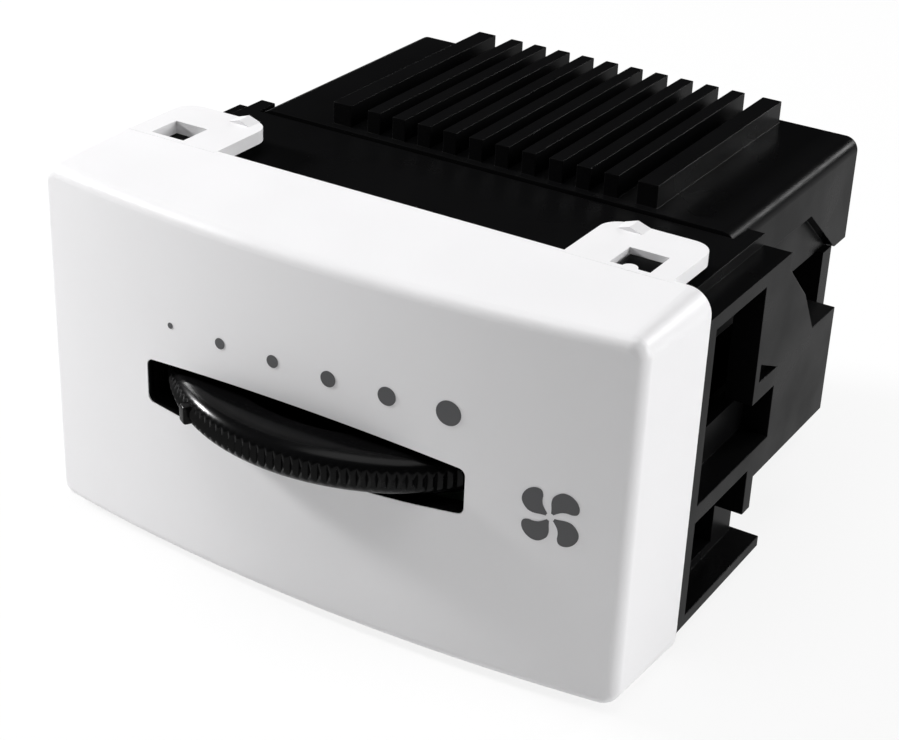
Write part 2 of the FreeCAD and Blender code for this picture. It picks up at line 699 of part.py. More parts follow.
def make_finned_cover():
    """Black upper housing: open box with slanted skirts and cooling fins along its top."""
    body = new_body("cover_body")
    half = COVER_HALF
    section = [
        (f"-{half}", "skirt_rear_bottom"), (half, "skirt_rear_bottom"), (half, "cover_top - cover_edge"),
        (f"{half} - cover_edge", "cover_top"), (f"-{half} + cover_edge", "cover_top"),
        (f"-{half}", "cover_top - cover_edge"),
    ]
    rounds = {2: ("cover_edge", False), 4: ("cover_edge", False)}
    extrude(body, "Pad", outline(body, "cover_section", "XZ", section, "-cover_front", rounds),
            "cover_rear - cover_front", flip=True)
    inner = f"({half} - cover_wall)"
    hollow = rectangle(f"-{inner}", inner, f"skirt_rear_bottom - {BEYOND}", CEILING)
    extrude(body, "Pocket", outline(body, "cover_hollow", "XZ", hollow, f"-cover_front + {BEYOND}"),
            f"cover_rear - cover_front - cover_wall + {BEYOND}")
    skirt = [
        (f"cover_front - {BEYOND}", f"skirt_rear_bottom - {BEYOND}"),
        ("skirt_slope_end", f"skirt_rear_bottom - {BEYOND}"), ("skirt_slope_end", "skirt_rear_bottom"),
        ("skirt_slope_start", "skirt_bottom"), (f"cover_front - {BEYOND}", "skirt_bottom"),
    ]
    extrude(body, "Pocket", outline(body, "skirt_line", "YZ", skirt), both_ways=True)
    # A thinner inner skirt closes the sides behind the slanted edge
    for side, hand in ((1, "right"), (-1, "left")):
        inner_skirt = rectangle("cover_front", "cover_rear - cover_wall/2", "skirt_rear_bottom",
                                "skirt_bottom + cover_edge")
        sketch = outline(body, f"inner_skirt_{hand}", "YZ", inner_skirt, f"{side}*{inner}")
        extrude(body, "Pad", sketch, "cover_wall - skirt_step", flip=side < 0)
    first = "-fin_pitch*(fin_count - 1)/2"
    fin = rectangle(f"{first} - fin_width/2", f"{first} + fin_width/2", "cover_top - fin_root",
                    "cover_top + fin_height")
    fins = extrude(body, "Pad", outline(body, "fin", "XZ", fin, "-(cover_front + fin_inset)"),
                   "cover_rear - cover_front - 2*fin_inset", flip=True)
    row = body.newObject("PartDesign::LinearPattern", "fin_row")
    row.Originals = [fins]
    row.Direction = (next(item for item in body.Origin.OriginFeatures if item.Role == "X_Axis"), [""])
    bind(row, Length="fin_pitch*(fin_count - 1)", Occurrences="fin_count")
    body.Tip = row
    doc.recompute()
    for side, hand in ((1, "right"), (-1, "left")):
        near = f"{side}*(fin_pitch*(fin_count - 1)/2 + fin_width/2 + end_fin_gap)"
        far = f"{side}*(fin_pitch*(fin_count - 1)/2 + fin_width/2 + end_fin_gap + end_fin_width)"
        edge_fin = rectangle(near, far, "cover_top - fin_root", "cover_top + fin_height")
        extrude(body, "Pad", outline(body, f"end_fin_{hand}", "XZ", edge_fin, "-(cover_front + fin_inset)"),
                "cover_rear - cover_front - 2*fin_inset", flip=True)
    bosses = [(f"{side}*{PILLAR_X}", "screw_pillar_y", "pillar_radius") for side in (1, -1)]
    extrude(body, "Pad", round_sketch(body, "screw_bosses", "XY", bosses, "tray_wall_top"),
            f"{CEILING} - tray_wall_top + cover_wall/2")
    pegs = [(f"{side}*peg_spacing/2", "peg_depth", "peg_radius") for side in (1, -1)]
    peg_foot = f"{CEILING} - sink_thickness - peg_stand"
    extrude(body, "Pad", round_sketch(body, "sink_pegs", "XY", pegs, peg_foot),
            "sink_thickness + peg_stand + cover_wall/2")
    pilots = [(f"{side}*{PILLAR_X}", "screw_pillar_y", "cover_screw_radius + screw_gap")
              for side in (1, -1)]
    depth = f"(cover_screw_length - (tray_wall_top - {TRAY_BOTTOM} - cover_screw_head_height) + pilot_spare)"
    extrude(body, "Pocket", round_sketch(body, "pilot_holes", "XY", pilots, f"tray_wall_top - {BEYOND}"),
            f"{depth} + {BEYOND}", flip=True)
    node(body, "finned_cover")


def knurl_ring():
    """Straight knurl: a ring of pointed teeth, worked out tooth by tooth around the rim."""
    count = int(value("knurl_count"))
    outer = value("wheel_radius")
    root = value("wheel_radius - knurl_depth")
    corners = []
    for step in range(2 * count):
        radius = outer if step % 2 else root
        angle = math.pi * step / count
        corners.append(FreeCAD.Vector(radius * math.cos(angle), radius * math.sin(angle), 0))
    corners.append(corners[0])
    face = Part.Face(Part.makePolygon(corners))
    height = value("knurl_height")
    bore = Part.makeCylinder(value("wheel_radius - knurl_depth - wheel_edge"), height)
    teeth = face.extrude(FreeCAD.Vector(0, 0, height)).cut(bore)
    teeth.translate(FreeCAD.Vector(0, 0, -height / 2))
    item = doc.addObject("Part::Feature", "knurl")
    item.Shape = teeth
    return item


def make_thumbwheel():
    """Black moulded wheel: round-edged rim with a knurl and an index rib, thin web, bored hub."""
    body = new_body("wheel_disc")
    half, web = "wheel_thickness/2", "wheel_web/2"
    rim = "(wheel_radius - knurl_depth)"
    bore = "(spindle_radius + running_gap)"
    inner = f"({rim} - wheel_rim_width)"
    profile = [
        (bore, f"-{half}"), ("hub_radius", f"-{half}"), ("hub_radius", f"-{web}"), (inner, f"-{web}"),
        (inner, f"-{half}"), (f"{rim} - wheel_edge", f"-{half}"), (rim, f"-{half} + wheel_edge"),
        (rim, f"{half} - wheel_edge"), (f"{rim} - wheel_edge", half), (inner, half), (inner, web),
        ("hub_radius", web), ("hub_radius", half), (bore, half),
    ]
    rounds = {5: ("wheel_edge", False), 7: ("wheel_edge", False)}
    sketch = outline(body, "wheel_section", "XZ", profile, arcs=rounds)
    turn = body.newObject("PartDesign::Revolution", "wheel_turned")
    turn.Profile = sketch
    turn.ReferenceAxis = (sketch, ["V_Axis"])
    turn.Angle = 360
    doc.recompute()
    # Index rib on the rim, index_angle to the left of straight ahead
    rib = doc.addObject("Part::Box", "index_rib")
    rib.Placement.Rotation = FreeCAD.Rotation(FreeCAD.Vector(0, 0, 1), 0)
    root, turned = "(wheel_radius - index_root)", "(-90 - index_angle)"
    bind(rib, Length="index_stand + index_root", Width="index_width", Height="wheel_thickness - 2*wheel_edge")
    bind(rib, Placement__Rotation__Angle=turned,
         Placement__Base__x=f"{root}*cos({turned}) + index_width/2*sin({turned})",
         Placement__Base__y=f"{root}*sin({turned}) - index_width/2*cos({turned})",
         Placement__Base__z=f"-{half} + wheel_edge")
    key = box("hub_flat", ("spindle_radius - spindle_flat + running_gap", "hub_radius - spindle_flat"),
              ("-spindle_radius", "spindle_radius"), (f"-{half}", half))
    wheel = fuse("wheel", body, knurl_ring(), rib, key)
    bind(wheel, Placement__Base__x="control_offset", Placement__Base__y="axis_depth")
    node(wheel, "thumbwheel")


def at_axis(item):
    """Put a piece that was drawn about the Z axis on the wheel's axis."""
    bind(item, Placement__Base__x="control_offset", Placement__Base__y="axis_depth")
    return item


def make_potentiometer():
    """Rotary potentiometer under the wheel: cup, lid, resistive track, wiper and flatted spindle."""
    can = rod("pot_can", "Z", ("0", "0", "board_top"), "pot_radius", "pot_height")
    well = rod("pot_well", "Z", ("0", "0", "board_top + pot_wall"), "pot_radius - pot_wall", "pot_height")
    node(at_axis(cut("pot_cup", can, well)), "potentiometer_case")
    lid = rod("lid_disc", "Z", ("0", "0", POT_TOP), "pot_radius", "pot_lid")
    bush = rod("lid_hole", "Z", ("0", "0", f"{POT_TOP} - {BEYOND}"), "spindle_radius + running_gap",
               f"pot_lid + 2*{BEYOND}")
    node(at_axis(cut("pot_cover", lid, bush)), "potentiometer_lid")
    floor = "(board_top + pot_wall)"
    track = rod("track_disc", "Z", ("0", "0", floor), "track_outer", "track_thickness")
    middle = rod("track_hole", "Z", ("0", "0", f"{floor} - {BEYOND}"), "track_inner",
                 f"track_thickness + 2*{BEYOND}")
    gap = box("track_break", ("track_inner/2", f"track_outer + {BEYOND}"), ("-track_gap/2", "track_gap/2"),
              (f"{floor} - {BEYOND}", f"{floor} + track_thickness + {BEYOND}"))
    node(at_axis(cut("track", track, middle, gap)), "resistive_track")
    flange_low = f"({POT_TOP} - flange_height - running_gap)"
    shaft = rod("spindle_shaft", "Z", ("0", "0", flange_low), "spindle_radius",
                f"wheel_thickness/2 - {flange_low}")
    flange = rod("spindle_flange", "Z", ("0", "0", flange_low), "flange_radius", "flange_height")
    flat = box("spindle_flat_cut", ("spindle_radius - spindle_flat", f"spindle_radius + {BEYOND}"),
               (f"-spindle_radius - {BEYOND}", f"spindle_radius + {BEYOND}"),
               ("-wheel_thickness/2", f"wheel_thickness/2 + {BEYOND}"))
    node(at_axis(cut("spindle", fuse("spindle_blank", shaft, flange), flat)), "wheel_spindle")
    track_top = f"({floor} + track_thickness)"
    tip, breadth = "-track_outer + wiper_inset", ("-wiper_width/2", "wiper_width/2")
    arm = box("wiper_arm", (tip, "flange_radius"), breadth, (f"{flange_low} - wiper_thickness", flange_low))
    finger = box("wiper_finger", (tip, f"{tip} + 2*wiper_thickness"), breadth,
                 (f"{track_top} + running_gap", flange_low))
    node(at_axis(fuse("wiper_blade", arm, finger)), "wiper")


def make_circuit_board():
    """Printed board with clearance for the screw pillars."""
    board = box("board_blank", (f"-{BOARD_HALF}", BOARD_HALF), ("board_front", "board_rear"),
                (BOARD_BOTTOM, "board_top"))
    start = f"{BOARD_BOTTOM} - {BEYOND}"
    holes = [rod(f"board_notch_{side}", "Z", (f"{side}*{PILLAR_X}", "screw_pillar_y", start),
                 "pillar_radius + tray_gap", f"board_thickness + 2*{BEYOND}") for side in (1, -1)]
    node(cut("board", board, *holes), "circuit_board")


def make_heat_sink_and_triac():
    """Aluminium plate under the fins, with the triac screwed flat against it."""
    top = CEILING
    plate = box("sink_plate", (f"-{SINK_HALF}", SINK_HALF), ("sink_front", "sink_rear"),
                (f"{top} - sink_thickness", top))
    drill_start, drill_length = f"{top} - sink_thickness - {BEYOND}", f"sink_thickness + 2*{BEYOND}"
    holes = [rod(f"sink_hole_{side}", "Z", (f"{side}*peg_spacing/2", "peg_depth", drill_start),
                 "peg_radius + running_gap", drill_length) for side in (1, -1)]
    screw_y = "(triac_front + triac_length - triac_hole_inset)"
    tapped = rod("sink_tapped", "Z", ("0", screw_y, drill_start), "triac_hole + running_gap", drill_length)
    node(cut("sink", plate, tapped, *holes), "heat_sink")
    face = f"({top} - sink_thickness)"
    case = box("triac_case", ("-triac_width/2", "triac_width/2"),
               ("triac_front", "triac_front + triac_length"), (f"{face} - triac_thickness", face))
    leads = []
    lead_front = "triac_front - triac_lead_reach"
    for index in (-1, 0, 1):
        x = f"({index}*triac_lead_pitch)"
        level = f"({face} - triac_thickness/2)"
        leads.append(box(f"triac_stub_{index + 1}", (f"{x} - lead_radius", f"{x} + lead_radius"),
                         (lead_front, "triac_front + triac_lead_reach"),
                         (f"{level} - lead_radius", f"{level} + lead_radius")))
        leads.append(box(f"triac_leg_{index + 1}", (f"{x} - lead_radius", f"{x} + lead_radius"),
                         (lead_front, f"{lead_front} + 2*lead_radius"),
                         ("board_top", f"{level} + lead_radius")))
    hole = rod("triac_hole_cut", "Z", ("0", screw_y, f"{face} - triac_thickness - {BEYOND}"),
               "triac_hole + running_gap", f"triac_thickness + 2*{BEYOND}")
    node(cut("triac_part", fuse("triac_solid", case, *leads), hole), "triac")
    shank = rod("triac_screw_shank", "Z", ("0", screw_y, f"{face} - triac_thickness"), "triac_hole",
                "triac_thickness + sink_thickness")
    head = rod("triac_screw_head", "Z", ("0", screw_y, f"{face} - triac_thickness - triac_head_height"),
               "2*triac_hole", "triac_head_height")
    node(fuse("triac_bolt", shank, head), "triac_screw")


def make_choke():
    """Toroidal choke standing on the board: iron core and a winding with gaps between its turns."""
    x, y, z = "-choke_x", "choke_y", "board_top + choke_radius + 2*choke_wire"

    def ring(name, outer_radius, bore_radius, width):
        """Ring about the choke's axis, which runs along Y."""
        blank = rod(f"{name}_blank", "Y", (x, f"{y} - ({width})/2", z), outer_radius, width)
        eye = rod(f"{name}_eye", "Y", (x, f"{y} - choke_width", z), bore_radius, "2*choke_width")
        return cut(f"{name}_ring", blank, eye)

    node(ring("choke", "choke_radius", "choke_bore", "choke_width"), "choke_core")
    turns = ring("winding", "choke_radius + choke_wire", "choke_bore - choke_wire",
                 "choke_width + 2*choke_wire")
    room = ring("core_room", "choke_radius", "choke_bore", "choke_width")
    breadth = (f"{x} - choke_bore/2", f"{x} + choke_bore/2")
    gap = box("winding_gap", breadth, (f"{y} - choke_width", f"{y} + choke_width"),
              (z, f"{z} + 2*choke_radius"))
    foot = box("choke_foot", breadth,
               (f"{y} - choke_width/2 - choke_wire", f"{y} + choke_width/2 + choke_wire"),
               ("board_top", "board_top + choke_wire + choke_seat"))
    node(fuse("winding", cut("winding_turns", turns, room, gap), foot), "choke_winding")


def lay_round_piece(label, centre_x, centre_y, radius, length, cap):
    """Round piece lying along X on the board, with a wider cap at each end."""
    middle = f"(board_top + {radius})"
    start = f"{centre_x} - {length}/2"
    parts = [rod(label + "_body", "X", (start, centre_y, middle), f"{radius} - cap_step", length)]
    for index, cap_start in enumerate((start, f"{centre_x} + {length}/2 - {cap}")):
        parts.append(rod(f"{label}_cap_{index}", "X", (cap_start, centre_y, middle), radius, cap))
    node(fuse(label + "_solid", *parts), label)


def make_board_pieces():
    """Capacitors, resistors, trigger diode and fuse that stand or lie on the board."""
    film = box("film_box", ("choke_x - film_width/2", "choke_x + film_width/2"),
               ("choke_y - film_depth/2", "choke_y + film_depth/2"),
               ("board_top", "board_top + film_height"))
    node(film, "film_capacitor")
    timing = box("timing_box", ("timing_x - timing_width/2", "timing_x + timing_width/2"),
                 ("timing_y - timing_depth/2", "timing_y + timing_depth/2"),
                 ("board_top", "board_top + timing_height"))
    node(timing, "timing_capacitor")
    lay_round_piece("series_resistor", "-resistor_x", "resistor_y", "resistor_radius", "resistor_length",
                    "resistor_cap")
    lay_round_piece("snubber_resistor", "-resistor_x", "resistor_y + resistor_pitch", "resistor_radius",
                    "resistor_length", "resistor_cap")
    lay_round_piece("trigger_diode", "timing_x", "resistor_y + resistor_pitch", "diode_radius",
                    "diode_length", "diode_cap")
    lay_round_piece("fuse_link", "fuse_x", "fuse_y", "fuse_radius", "fuse_length", "fuse_cap")


def make_terminals():
    """Two rising-clamp terminals: fixed strip, sliding brass cage and its screw, one on each side."""
    low, high = "(terminal_z - cage_height/2)", "(terminal_z + cage_height/2)"
    for side, hand in ((1, "right"), (-1, "left")):
        def span(inner, outer):
            return (inner, outer) if side > 0 else (f"-({outer})", f"-({inner})")
        near, far = "(terminal_x - cage_width/2)", "(terminal_x + cage_width/2)"
        shell = box(f"cage_shell_{hand}", span(near, far), ("cage_front", CAGE_REAR), (low, high))
        mouth = box(f"cage_mouth_{hand}", span(f"{near} - {BEYOND}", f"{far} + {BEYOND}"),
                    ("cage_front + cage_wall", CAGE_PLATE_FRONT),
                    (f"{low} + cage_wall", f"{high} - cage_wall"))
        centre = f"{side}*terminal_x"
        tapped = rod(f"cage_hole_{hand}", "Y", (centre, f"{CAGE_PLATE_FRONT} - {BEYOND}", "terminal_z"),
                     "clamp_screw_radius + running_gap", f"cage_plate + 2*{BEYOND}")
        node(cut(f"cage_{hand}", shell, mouth, tapped), f"clamp_cage_{hand}")
        bar = box(f"strip_bar_{hand}", span(f"{near} - cage_play - strip_leg", f"{far} - strip_inset"),
                  (STRIP_FRONT, STRIP_REAR), ("terminal_z - strip_height/2", "terminal_z + strip_height/2"))
        leg = box(f"strip_leg_{hand}", span(f"{near} - cage_play - strip_leg", f"{near} - cage_play"),
                  (STRIP_FRONT, STRIP_REAR), ("board_top", "terminal_z"))
        node(fuse(f"strip_{hand}", bar, leg), f"contact_strip_{hand}")
        shank = rod(f"clamp_shank_{hand}", "Y", (centre, f"{STRIP_REAR} + running_gap", "terminal_z"),
                    "clamp_screw_radius", f"{CLAMP_HEAD_FRONT} - {STRIP_REAR} - running_gap")
        head = rod(f"clamp_head_{hand}", "Y", (centre, CLAMP_HEAD_FRONT, "terminal_z"), "clamp_head_radius",
                   "clamp_head_height")
        rear = f"({CLAMP_HEAD_FRONT} + clamp_head_height)"
        slot = box(f"clamp_slot_{hand}",
                   (f"{centre} - clamp_head_radius - {BEYOND}", f"{centre} + clamp_head_radius + {BEYOND}"),
                   (f"{rear} - clamp_slot_depth", f"{rear} + {BEYOND}"),
                   ("terminal_z - clamp_slot_width/2", "terminal_z + clamp_slot_width/2"))
        blank = fuse(f"clamp_blank_{hand}", shank, head)
        node(cut(f"clamp_screw_{hand}", blank, slot), f"terminal_screw_{hand}")


def make_cover_screws():
    """Two long screws that hold the cover on the tray, driven from below."""
    for side, hand in ((1, "right"), (-1, "left")):
        centre = f"{side}*{PILLAR_X}"
        seat = f"({TRAY_BOTTOM} + cover_screw_head_height)"
        head = rod(f"cover_head_{hand}", "Z", (centre, "screw_pillar_y", TRAY_BOTTOM), "cover_screw_head",
                   "cover_screw_head_height")
        shank = rod(f"cover_shank_{hand}", "Z", (centre, "screw_pillar_y", seat), "cover_screw_radius",
                    "cover_screw_length")
        node(fuse(f"cover_bolt_{hand}", head, shank), f"cover_screw_{hand}")


def save_parts():
    """Check every object and piece, then write one file for each piece."""
    doc.recompute()
    for item in doc.Objects:
        if "Invalid" in item.State or "Error" in item.State:
            raise RuntimeError(f"{item.Name} failed: {item.State}")
    for item in nodes:
        if item.Shape.isNull() or not item.Shape.isValid():
            raise RuntimeError(f"{item.Label} has no valid shape")
    os.makedirs("parts", exist_ok=True)
    for item in nodes:
        item.Shape.exportStep(os.path.join("parts", item.Label + ".step"))
        print(f"{item.Label}: {item.Shape.Volume:.1f} mm3, {len(item.Shape.Solids)} solid(s)")


make_front_panel()
make_wheel_bezel()
make_chassis_frame()
make_base_tray()
make_finned_cover()
make_thumbwheel()
make_potentiometer()
make_circuit_board()
make_heat_sink_and_triac()
make_choke()
make_board_pieces()
make_terminals()
make_cover_screws()
save_parts()
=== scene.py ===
"""Looks of the fan speed control switch: finishes, printed marks, knurled wheel and studio.

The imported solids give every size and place. This file softens their moulded edges, cuts the fine
knurl, prints the marks on the bowed panel, paints each piece and lights the whole.
"""
import json
import math

import bmesh
import bpy
import numpy as np
from mathutils import Matrix, Vector


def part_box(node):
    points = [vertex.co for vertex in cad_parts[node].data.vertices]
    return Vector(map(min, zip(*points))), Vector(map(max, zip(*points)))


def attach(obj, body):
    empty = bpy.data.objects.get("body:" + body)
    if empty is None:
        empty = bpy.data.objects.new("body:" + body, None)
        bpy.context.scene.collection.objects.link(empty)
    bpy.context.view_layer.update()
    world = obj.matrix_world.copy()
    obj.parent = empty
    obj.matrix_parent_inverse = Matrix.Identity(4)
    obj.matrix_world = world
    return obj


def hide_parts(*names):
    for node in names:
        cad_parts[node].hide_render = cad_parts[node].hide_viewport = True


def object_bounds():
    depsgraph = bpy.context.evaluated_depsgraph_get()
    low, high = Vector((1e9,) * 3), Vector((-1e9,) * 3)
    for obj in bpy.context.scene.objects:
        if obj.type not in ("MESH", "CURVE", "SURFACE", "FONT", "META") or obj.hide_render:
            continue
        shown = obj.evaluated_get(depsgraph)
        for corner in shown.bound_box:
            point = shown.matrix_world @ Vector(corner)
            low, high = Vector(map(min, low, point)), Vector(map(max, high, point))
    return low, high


bl_info = {
    "name": "Fan speed control switch",
    "version": (1, 0, 0),
    "blender": (4, 5, 0),
    "location": "View3D > Sidebar > Fan switch",
    "description": "Dresses a snap-in fan speed control: finishes, printed marks, knurled wheel and studio",
    "category": "Object",
}

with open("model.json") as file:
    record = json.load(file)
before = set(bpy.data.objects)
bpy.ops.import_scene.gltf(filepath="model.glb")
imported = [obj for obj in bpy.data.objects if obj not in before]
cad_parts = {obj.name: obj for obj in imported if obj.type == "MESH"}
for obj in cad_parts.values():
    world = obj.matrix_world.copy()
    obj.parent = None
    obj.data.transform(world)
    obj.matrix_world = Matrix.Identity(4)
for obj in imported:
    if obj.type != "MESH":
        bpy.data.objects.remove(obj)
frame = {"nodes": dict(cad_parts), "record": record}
CAD_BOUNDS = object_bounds()
MM = 0.001
PANEL_LOW, PANEL_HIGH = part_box("front_panel")
WHEEL_LOW, WHEEL_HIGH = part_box("thumbwheel")
AXIS = Vector(next(joint["pos_m"] for joint in frame["record"]["behaviour"]["joints"]
                  if joint["name"] == "wheel_turn"))
LOWEST = CAD_BOUNDS[0].z
PANEL_BOW = 1.97 * MM  # how far the panel's front stands out in its middle
# Each lamp's place and target and its width, in metres, and the property that holds its power
LAMPS = {
    "key_lamp": ((0.0, -0.04, 0.35), (0.0, 0.0, 0.0), 0.25, "key_power"),
    "side_lamp": ((0.34, 0.10, 0.10), (0.0, 0.0, 0.0), 0.20, "side_power"),
    "left_lamp": ((-0.330, -0.060, 0.153), (0.0, -0.005, 0.0), 0.05, "left_power"),
    "rear_lamp": ((0.16, 0.36, 0.14), (0.02, 0.02, 0.01), 0.08, "rear_power"),
}


class PrintedMarks(bpy.types.PropertyGroup):
    """Sizes and colour of the marks printed on the panel."""

    first_dot: bpy.props.FloatProperty(
        name="First dot", description="Place of the smallest dot along the panel",
        default=-10.49 * MM, unit="LENGTH")
    dot_pitch: bpy.props.FloatProperty(
        name="Dot pitch", description="Distance from one dot to the next",
        default=4.186 * MM, unit="LENGTH")
    dot_level: bpy.props.FloatProperty(
        name="Dot level", description="Height of the first dot above the panel's middle",
        default=4.65 * MM, unit="LENGTH")
    dot_sizes: bpy.props.FloatVectorProperty(
        name="Dot diameters", description="Diameters of the dots from slow to fast", size=6,
        default=(0.42 * MM, 0.76 * MM, 0.86 * MM, 1.08 * MM, 1.25 * MM, 1.66 * MM), unit="LENGTH")
    dot_climb: bpy.props.FloatProperty(
        name="Dot climb", description="How much higher each dot sits than the one before",
        default=0.09 * MM, unit="LENGTH")
    icon_across: bpy.props.FloatProperty(
        name="Icon place", description="Place of the fan icon along the panel",
        default=17.25 * MM, unit="LENGTH")
    icon_level: bpy.props.FloatProperty(
        name="Icon level", description="Height of the fan icon above the panel's middle",
        default=0.0, unit="LENGTH")
    icon_radius: bpy.props.FloatProperty(
        name="Icon radius", description="Reach of the fan icon's blades",
        default=2.15 * MM, unit="LENGTH")
    film: bpy.props.FloatProperty(
        name="Film", description="Height of the printed film over the moulding",
        default=0.03 * MM, unit="LENGTH")
    colour: bpy.props.FloatVectorProperty(
        name="Ink", description="Colour of the printing ink", subtype="COLOR", size=3,
        default=(0.062, 0.062, 0.066), min=0, max=1)


class SlotLook(bpy.types.PropertyGroup):
    """Sizes of the wheel's slot in the panel."""

    middle: bpy.props.FloatProperty(
        name="Middle", description="Place of the slot's middle along the panel",
        default=-0.5 * MM, unit="LENGTH")
    length: bpy.props.FloatProperty(
        name="Length", description="Length of the slot", default=24.4 * MM, unit="LENGTH")
    end_height: bpy.props.FloatProperty(
        name="End height", description="Height of the slot at its ends", default=3.1 * MM, unit="LENGTH")
    rise: bpy.props.FloatProperty(
        name="Rise", description="How much further each long side reaches in the middle than at the ends",
        default=0.7 * MM, unit="LENGTH")
    corner: bpy.props.FloatProperty(
        name="Corner", description="Radius of the slot's corners", default=0.5 * MM, unit="LENGTH")
    inset: bpy.props.FloatProperty(
        name="Inset", description="Distance of the black lining from the slot's white wall",
        default=0.02 * MM, unit="LENGTH")
    sunk: bpy.props.FloatProperty(
        name="Sunk", description="Depth of the lining's front edge below the panel's face",
        default=0.06 * MM, unit="LENGTH")
    depth: bpy.props.FloatProperty(
        name="Depth", description="Depth of the lining's rear edge below the panel's face",
        default=0.6 * MM, unit="LENGTH")
    wall: bpy.props.FloatProperty(
        name="Wall", description="Thickness of the lining", default=0.01 * MM, unit="LENGTH")


class WheelLook(bpy.types.PropertyGroup):
    """Sizes and colour of the knurled wheel."""

    radius: bpy.props.FloatProperty(
        name="Radius", description="Radius over the teeth", default=15.5 * MM, unit="LENGTH")
    teeth: bpy.props.IntProperty(
        name="Teeth", description="Number of grooves round the rim", default=156, min=12)
    groove: bpy.props.FloatProperty(
        name="Groove", description="Depth of a groove below the teeth", default=0.24 * MM, unit="LENGTH")
    shoulder: bpy.props.FloatProperty(
        name="Shoulder", description="Radius of the smooth shoulder above and below the grooves",
        default=1.35 * MM, unit="LENGTH")
    rim_width: bpy.props.FloatProperty(
        name="Rim", description="Width of the rim from the grooves to the web",
        default=2.8 * MM, unit="LENGTH")
    web: bpy.props.FloatProperty(
        name="Web", description="Thickness of the web between hub and rim", default=1.5 * MM, unit="LENGTH")
    hub_radius: bpy.props.FloatProperty(
        name="Hub", description="Radius of the hub", default=5.0 * MM, unit="LENGTH")
    bore: bpy.props.FloatProperty(
        name="Bore", description="Radius of the bore", default=2.55 * MM, unit="LENGTH")
    bore_flat: bpy.props.FloatProperty(
        name="Bore flat", description="Distance of the bore's flat from the axis",
        default=1.85 * MM, unit="LENGTH")
    index_angle: bpy.props.FloatProperty(
        name="Index angle", description="Turn of the index rib to the left of straight ahead",
        default=math.radians(28), subtype="ANGLE")
    index_width: bpy.props.FloatProperty(
        name="Index width", description="Width of the index rib", default=0.8 * MM, unit="LENGTH")
    index_stand: bpy.props.FloatProperty(
        name="Index stand", description="How far the index rib stands out of the teeth",
        default=0.4 * MM, unit="LENGTH")
    index_root: bpy.props.FloatProperty(
        name="Index root", description="How far the index rib reaches into the rim",
        default=1.0 * MM, unit="LENGTH")
    index_height: bpy.props.FloatProperty(
        name="Index height", description="Height of the index rib", default=1.3 * MM, unit="LENGTH")
    colour: bpy.props.FloatVectorProperty(
        name="Colour", description="Colour of the wheel's plastic", subtype="COLOR", size=3,
        default=(0.0032, 0.0032, 0.0034), min=0, max=1)


class MouldedFinish(bpy.types.PropertyGroup):
    """Colours and edge of the mouldings."""

    panel_colour: bpy.props.FloatVectorProperty(
        name="Panel", description="Colour of the front panel", subtype="COLOR", size=3,
        default=(0.80, 0.795, 0.805), min=0, max=1)
    housing_colour: bpy.props.FloatVectorProperty(
        name="Housing", description="Colour of the chassis, tray and cover", subtype="COLOR", size=3,
        default=(0.0032, 0.0032, 0.0034), min=0, max=1)
    soft_edge: bpy.props.FloatProperty(
        name="Soft edge", description="Width of the rounded edges of the black mouldings",
        default=0.16 * MM, unit="LENGTH")


class StudioSetup(bpy.types.PropertyGroup):
    """Lamps, floor and camera."""

    key_power: bpy.props.FloatProperty(
        name="Key", description="Power of the large lamp above", default=0.69, unit="POWER")
    side_power: bpy.props.FloatProperty(
        name="Side", description="Power of the lamp at the right", default=0.80, unit="POWER")
    left_power: bpy.props.FloatProperty(
        name="Left", description="Power of the small lamp at the left", default=1.8, unit="POWER")
    rear_power: bpy.props.FloatProperty(
        name="Rear", description="Power of the small lamp behind the right edge", default=0.55, unit="POWER")
    room_light: bpy.props.FloatProperty(
        name="Room", description="Strength of the even light of the room", default=0.02, min=0)
    floor_colour: bpy.props.FloatVectorProperty(
        name="Floor", description="Colour of the floor", subtype="COLOR", size=3,
        default=(0.80, 0.80, 0.80), min=0, max=1)
    floor_glow: bpy.props.FloatProperty(
        name="Floor glow", description="Share of plain white in the floor where it is seen directly",
        default=0.86, min=0, max=1)
    lens: bpy.props.FloatProperty(
        name="Lens", description="Focal length for a 36 mm wide sensor", default=78.588, subtype="NONE")


def grid_faces(rows, columns, wrap=False, closed=False):
    """Corner numbers of the quads of a grid; wrap joins the last column to the first and closed the
    last row to the first."""
    row, column = np.meshgrid(np.arange(rows if closed else rows - 1),
                              np.arange(columns if wrap else columns - 1), indexing="ij")
    below, beside = (row + 1) % rows, (column + 1) % columns
    quads = np.stack([row * columns + column, row * columns + beside,
                      below * columns + beside, below * columns + column], axis=-1)
    return quads.reshape(-1, 4)


def new_piece(name, points, faces):
    """Mesh object at the origin from an array of points and a list of faces, shaded smooth."""
    mesh = bpy.data.meshes.new(name)
    mesh.from_pydata(points.reshape(-1, 3).tolist(), [], faces)
    mesh.update()
    mesh.shade_smooth()
    piece = bpy.data.objects.new(name, mesh)
    bpy.context.scene.collection.objects.link(piece)
    return piece


def dress(piece, material, body):
    """Paint a new piece and tie it to the body that carries it."""
    piece.data.materials.clear()
    piece.data.materials.append(material)
    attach(piece, body)


def paint(material, *names):
    """Put a material on solids of the frame."""
    for name in names:
        mesh = frame["nodes"][name].data
        mesh.materials.clear()
        mesh.materials.append(material)


def weld(mesh, reach, plain=None):
    """Merge points that lie within reach and, where plain is given, join faces that differ by less than
    that angle."""
    work = bmesh.new()
    work.from_mesh(mesh)
    bmesh.ops.remove_doubles(work, verts=work.verts, dist=reach)
    if plain is not None:
        bmesh.ops.dissolve_limit(work, angle_limit=plain, verts=work.verts, edges=work.edges)
    work.to_mesh(mesh)
    work.free()


